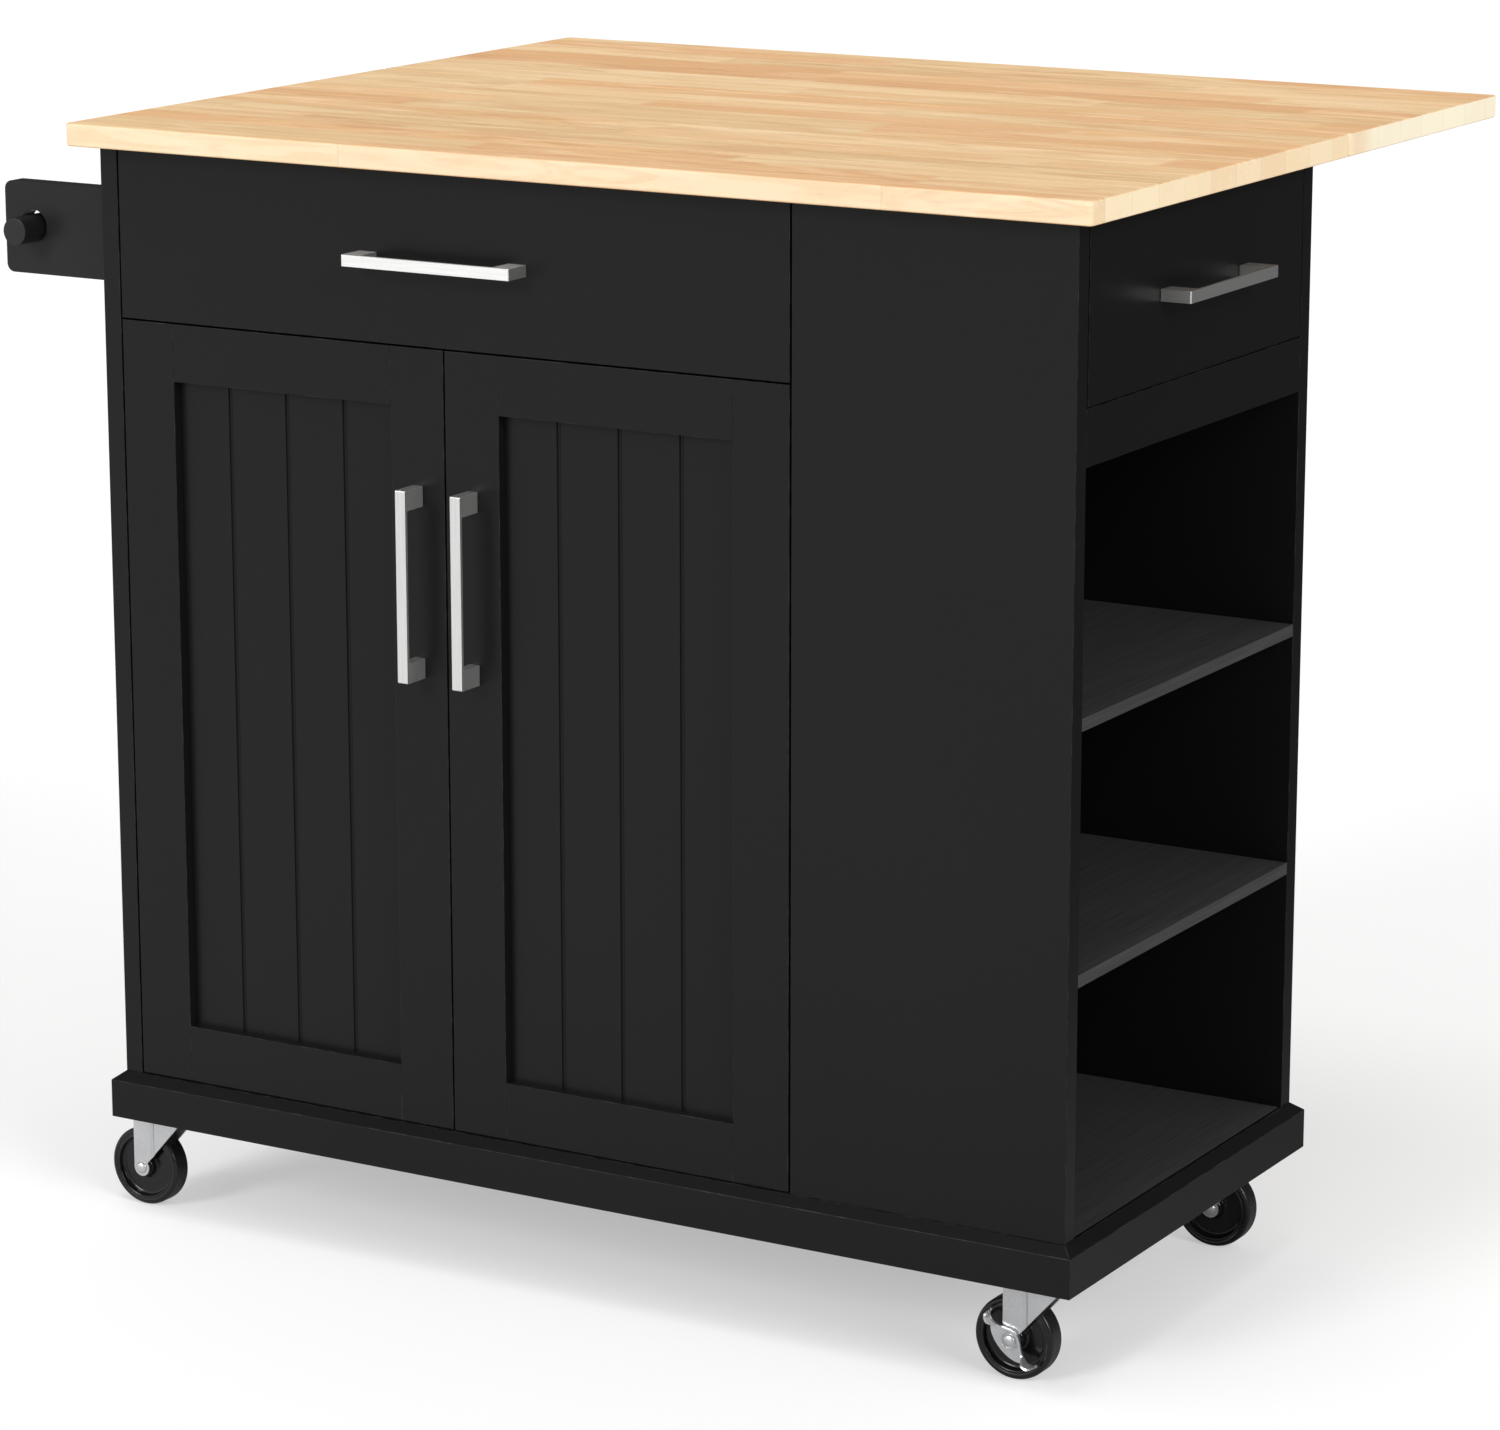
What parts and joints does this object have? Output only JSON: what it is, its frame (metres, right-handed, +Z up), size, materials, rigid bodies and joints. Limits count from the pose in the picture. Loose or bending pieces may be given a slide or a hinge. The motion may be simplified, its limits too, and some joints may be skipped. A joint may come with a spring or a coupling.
{
  "type": "kitchen island",
  "caption": "Kitchen island on casters with a wood worktop, rear drop leaf, front cupboard, drawers, open end shelves and a towel rod.",
  "frame": {"origin": "bottom centre of the box round the island at rest with the leaf raised, on the floor", "axes": "+Z up, the doors face -Y, the open end shelves face +X, the drop leaf is on the +Y side"},
  "size_m": [0.989, 0.7394, 0.888],
  "materials": {
    "black_paint": "satin black lacquer on board",
    "shelf_laminate": "black laminate with a faint grain",
    "butcher_block": "oiled finger-jointed solid wood",
    "satin_nickel": "brushed",
    "zinc": "bright zinc plate",
    "black_steel": "black powder coat",
    "wheel_plastic": "glossy black",
    "drawer_box": "pale melamine board"
  },
  "bodies": {
    "cabinet": {"plinth_frame": "black_paint", "bottom_board": "shelf_laminate", "left_side_panel": "black_paint", "fixed_front_panel": "black_paint", "rear_end_board": "black_paint", "cupboard_back": "black_paint", "partition": "black_paint", "cupboard_shelf": "shelf_laminate", "drawer_rail": "black_paint", "top_stretcher": "black_paint", "end_rail": "black_paint", "end_shelf_upper": "shelf_laminate", "end_shelf_lower": "shelf_laminate", "worktop": "butcher_block", "leaf_hinge_left_fixed": "zinc", "leaf_hinge_right_fixed": "zinc", "leaf_support_left_strip": "black_steel", "leaf_support_right_strip": "black_steel", "door_left_hinge_lower": "zinc", "door_left_hinge_upper": "zinc", "door_right_hinge_lower": "zinc", "door_right_hinge_upper": "zinc", "front_drawer_runner_left": "zinc", "front_drawer_runner_right": "zinc", "end_drawer_runner_front": "zinc", "end_drawer_runner_rear": "zinc", "towel_bracket_front": "black_paint", "towel_bracket_rear": "black_paint", "caster_front_left_plate": "zinc", "caster_front_right_plate": "zinc", "caster_rear_left_plate": "zinc", "caster_rear_right_plate": "zinc"},
    "leaf": {"drop_leaf": "butcher_block", "leaf_hinge_left_moving": "zinc", "leaf_hinge_right_moving": "zinc", "leaf_support_left_arm": "black_steel", "leaf_support_right_arm": "black_steel"},
    "brace_left": {"leaf_support_left_brace": "black_steel"},
    "brace_right": {"leaf_support_right_brace": "black_steel"},
    "left_door": {"door_left": "black_paint", "door_left_handle": "satin_nickel"},
    "right_door": {"door_right": "black_paint", "door_right_handle": "satin_nickel"},
    "front_drawer": {"front_drawer_face": "black_paint", "front_drawer_box": "drawer_box", "front_drawer_handle": "satin_nickel"},
    "end_drawer": {"end_drawer_face": "black_paint", "end_drawer_box": "drawer_box", "end_drawer_handle": "satin_nickel"},
    "rod": {"towel_rod": "black_steel"},
    "front_left_fork": {"caster_front_left_fork": "zinc"},
    "front_left_wheel": {"caster_front_left_wheel": "wheel_plastic"},
    "front_right_fork": {"caster_front_right_fork": "zinc"},
    "front_right_wheel": {"caster_front_right_wheel": "wheel_plastic"},
    "front_right_brake": {"caster_front_right_brake": "zinc"},
    "rear_left_fork": {"caster_rear_left_fork": "zinc"},
    "rear_left_wheel": {"caster_rear_left_wheel": "wheel_plastic"},
    "rear_left_brake": {"caster_rear_left_brake": "zinc"},
    "rear_right_fork": {"caster_rear_right_fork": "zinc"},
    "rear_right_wheel": {"caster_rear_right_wheel": "wheel_plastic"}
  },
  "joints": [
    {"name": "leaf_drop", "type": "hinge", "parent": "cabinet", "child": "leaf", "pos_m": [0, 0.0745, 0.8665], "axis": [-1, 0, 0], "range_deg": [0, 90]},
    {"name": "brace_left_fold", "type": "hinge", "parent": "cabinet", "child": "brace_left", "pos_m": [-0.2505, 0.06385, 0.8065], "axis": [-1, 0, 0], "range_deg": [0, 108.5]},
    {"name": "brace_right_fold", "type": "hinge", "parent": "cabinet", "child": "brace_right", "pos_m": [0.3395, 0.06385, 0.8065], "axis": [-1, 0, 0], "range_deg": [0, 108.5]},
    {"name": "left_door_swing", "type": "hinge", "parent": "cabinet", "child": "left_door", "pos_m": [-0.363, -0.34475, 0.427], "axis": [0, 0, -1], "range_deg": [0, 105]},
    {"name": "right_door_swing", "type": "hinge", "parent": "cabinet", "child": "right_door", "pos_m": [0.237, -0.34475, 0.427], "axis": [0, 0, 1], "range_deg": [0, 105]},
    {"name": "front_drawer_slide", "type": "slide", "parent": "cabinet", "child": "front_drawer", "axis": [0, -1, 0], "range_m": [0, 0.25]},
    {"name": "end_drawer_slide", "type": "slide", "parent": "cabinet", "child": "end_drawer", "axis": [1, 0, 0], "range_m": [0, 0.14]},
    {"name": "towel_rod_slide", "type": "slide", "parent": "cabinet", "child": "rod", "axis": [0, -1, 0], "range_m": [0, 0.3]},
    {"name": "front_left_swivel", "type": "hinge", "parent": "cabinet", "child": "front_left_fork", "pos_m": [-0.3545, -0.31875, 0.084], "axis": [0, 0, 1], "continuous": true},
    {"name": "front_left_roll", "type": "hinge", "parent": "front_left_fork", "child": "front_left_wheel", "pos_m": [-0.3785, -0.31875, 0.0325], "axis": [0, 1, 0], "continuous": true},
    {"name": "front_right_swivel", "type": "hinge", "parent": "cabinet", "child": "front_right_fork", "pos_m": [0.4435, -0.31875, 0.084], "axis": [0, 0, 1], "continuous": true},
    {"name": "front_right_roll", "type": "hinge", "parent": "front_right_fork", "child": "front_right_wheel", "pos_m": [0.4195, -0.31875, 0.0325], "axis": [0, 1, 0], "continuous": true},
    {"name": "front_right_brake_press", "type": "hinge", "parent": "front_right_fork", "child": "front_right_brake", "pos_m": [0.4195, -0.31875, 0.0325], "axis": [0, 1, 0], "range_deg": [0, 20]},
    {"name": "rear_left_swivel", "type": "hinge", "parent": "cabinet", "child": "rear_left_fork", "pos_m": [-0.3545, 0.02525, 0.084], "axis": [0, 0, 1], "continuous": true},
    {"name": "rear_left_roll", "type": "hinge", "parent": "rear_left_fork", "child": "rear_left_wheel", "pos_m": [-0.3785, 0.02525, 0.0325], "axis": [0, 1, 0], "continuous": true},
    {"name": "rear_left_brake_press", "type": "hinge", "parent": "rear_left_fork", "child": "rear_left_brake", "pos_m": [-0.3785, 0.02525, 0.0325], "axis": [0, 1, 0], "range_deg": [0, 20]},
    {"name": "rear_right_swivel", "type": "hinge", "parent": "cabinet", "child": "rear_right_fork", "pos_m": [0.4435, 0.02525, 0.084], "axis": [0, 0, 1], "continuous": true},
    {"name": "rear_right_roll", "type": "hinge", "parent": "rear_right_fork", "child": "rear_right_wheel", "pos_m": [0.4195, 0.02525, 0.0325], "axis": [0, 1, 0], "continuous": true}
  ],
  "couplings": [
    {"joint": "brace_left_fold", "follows": "leaf_drop", "ratio": 1.201},
    {"joint": "brace_right_fold", "follows": "leaf_drop", "ratio": 1.201}
  ]
}
